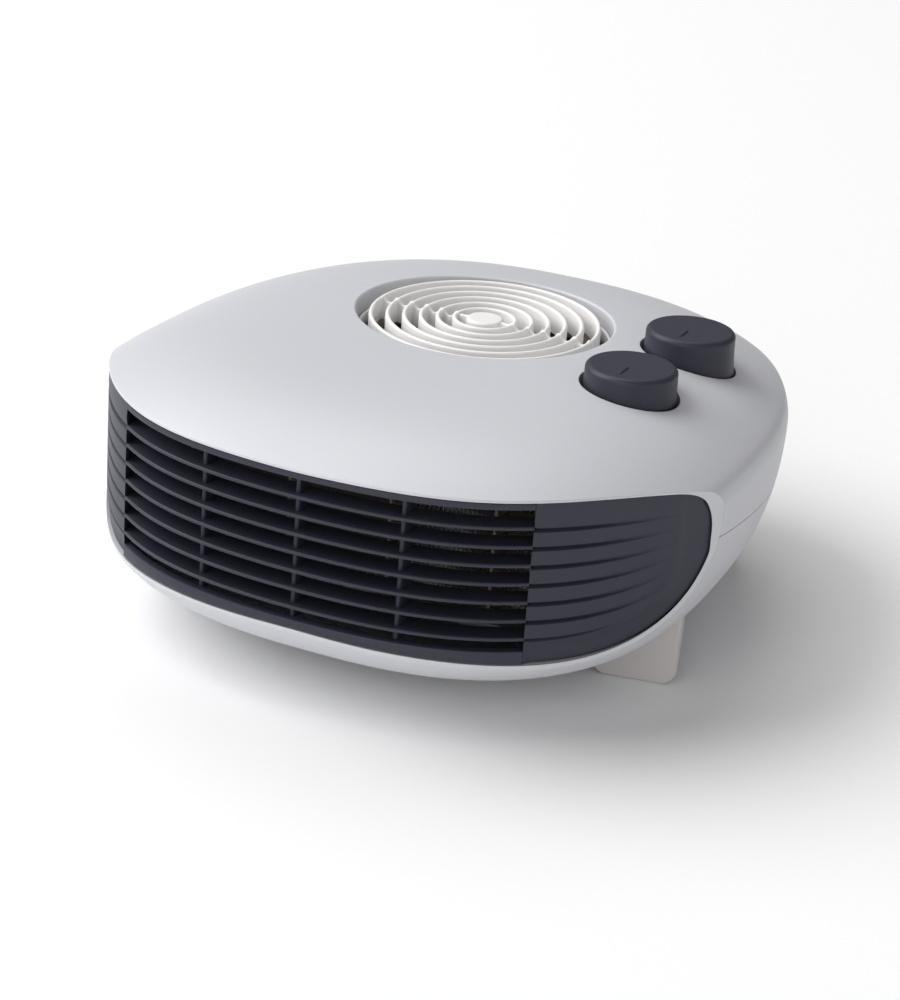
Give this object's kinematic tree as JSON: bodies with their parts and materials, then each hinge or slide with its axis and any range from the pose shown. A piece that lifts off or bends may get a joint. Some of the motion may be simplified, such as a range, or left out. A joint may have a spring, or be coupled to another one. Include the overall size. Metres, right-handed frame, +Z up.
{
  "type": "flat fan heater",
  "caption": "Flat fan heater: rounded shell in two halves with a curved louvred air outlet in front, a round ring grille on top, two turning knobs and four slab feet.",
  "frame": {"origin": "middle of the footprint on the floor, under the feet", "axes": "-Y out of the louvred air outlet, +X to the right of someone who looks at the outlet, +Z up"},
  "size_m": [0.251, 0.272, 0.1105],
  "materials": {
    "shell_white": "fine satin",
    "grille_slate": "satin",
    "ring_cream": "satin",
    "foot_beige": "satin",
    "duct_khaki": "matt",
    "steel": "zinc plated",
    "frame_zinc": "galvanised",
    "winding_copper": "enamelled wire",
    "bush_bronze": "sintered",
    "mica": "pressed sheet",
    "black_plastic": "satin"
  },
  "bodies": {
    "case": {"top_cover": "shell_white", "bottom_cover": "shell_white", "front_grille": "grille_slate", "inlet_grille": "ring_cream", "power_switch_body": "black_plastic", "thermostat_body": "foot_beige", "control_screws": "steel", "fan_housing": "duct_khaki", "fan_housing_lid": "duct_khaki", "lid_screws": "steel", "housing_screws": "steel", "motor_stator": "steel", "motor_coil": "winding_copper", "upper_bearing_bracket": "frame_zinc", "lower_bearing_bracket": "frame_zinc", "upper_bearing": "bush_bronze", "lower_bearing": "bush_bronze", "motor_bolts": "steel", "motor_mount_screws": "steel", "element_frame": "frame_zinc", "mica_supports": "mica", "heating_coils": "steel", "element_screws": "steel", "thermal_cutout": "black_plastic", "thermal_fuse": "steel", "terminal_block": "foot_beige", "terminal_screws": "steel", "switch_lead": "black_plastic", "thermostat_lead": "black_plastic", "motor_lead": "black_plastic", "element_lead": "black_plastic", "cord_gland": "black_plastic", "case_screws": "steel", "front_left_foot": "foot_beige", "front_right_foot": "foot_beige", "back_left_foot": "foot_beige", "back_right_foot": "foot_beige", "foot_screws": "steel"},
    "fan": {"fan_wheel": "duct_khaki", "wheel_clip": "steel", "motor_shaft": "steel", "motor_rotor": "steel"},
    "power_control": {"power_knob": "grille_slate", "power_spindle": "frame_zinc"},
    "thermostat_control": {"thermostat_knob": "grille_slate", "thermostat_spindle": "frame_zinc"}
  },
  "joints": [
    {"name": "fan_spin", "type": "hinge", "parent": "case", "child": "fan", "pos_m": [0, 0.0184, 0.045], "axis": [0, 0, 1], "continuous": true},
    {"name": "power_turn", "type": "hinge", "parent": "case", "child": "power_control", "pos_m": [0.075, -0.019, 0.091], "axis": [0, 0, -1], "range_deg": [0, 270]},
    {"name": "thermostat_turn", "type": "hinge", "parent": "case", "child": "thermostat_control", "pos_m": [0.079, 0.033, 0.091], "axis": [0, 0, -1], "range_deg": [0, 300]}
  ]
}
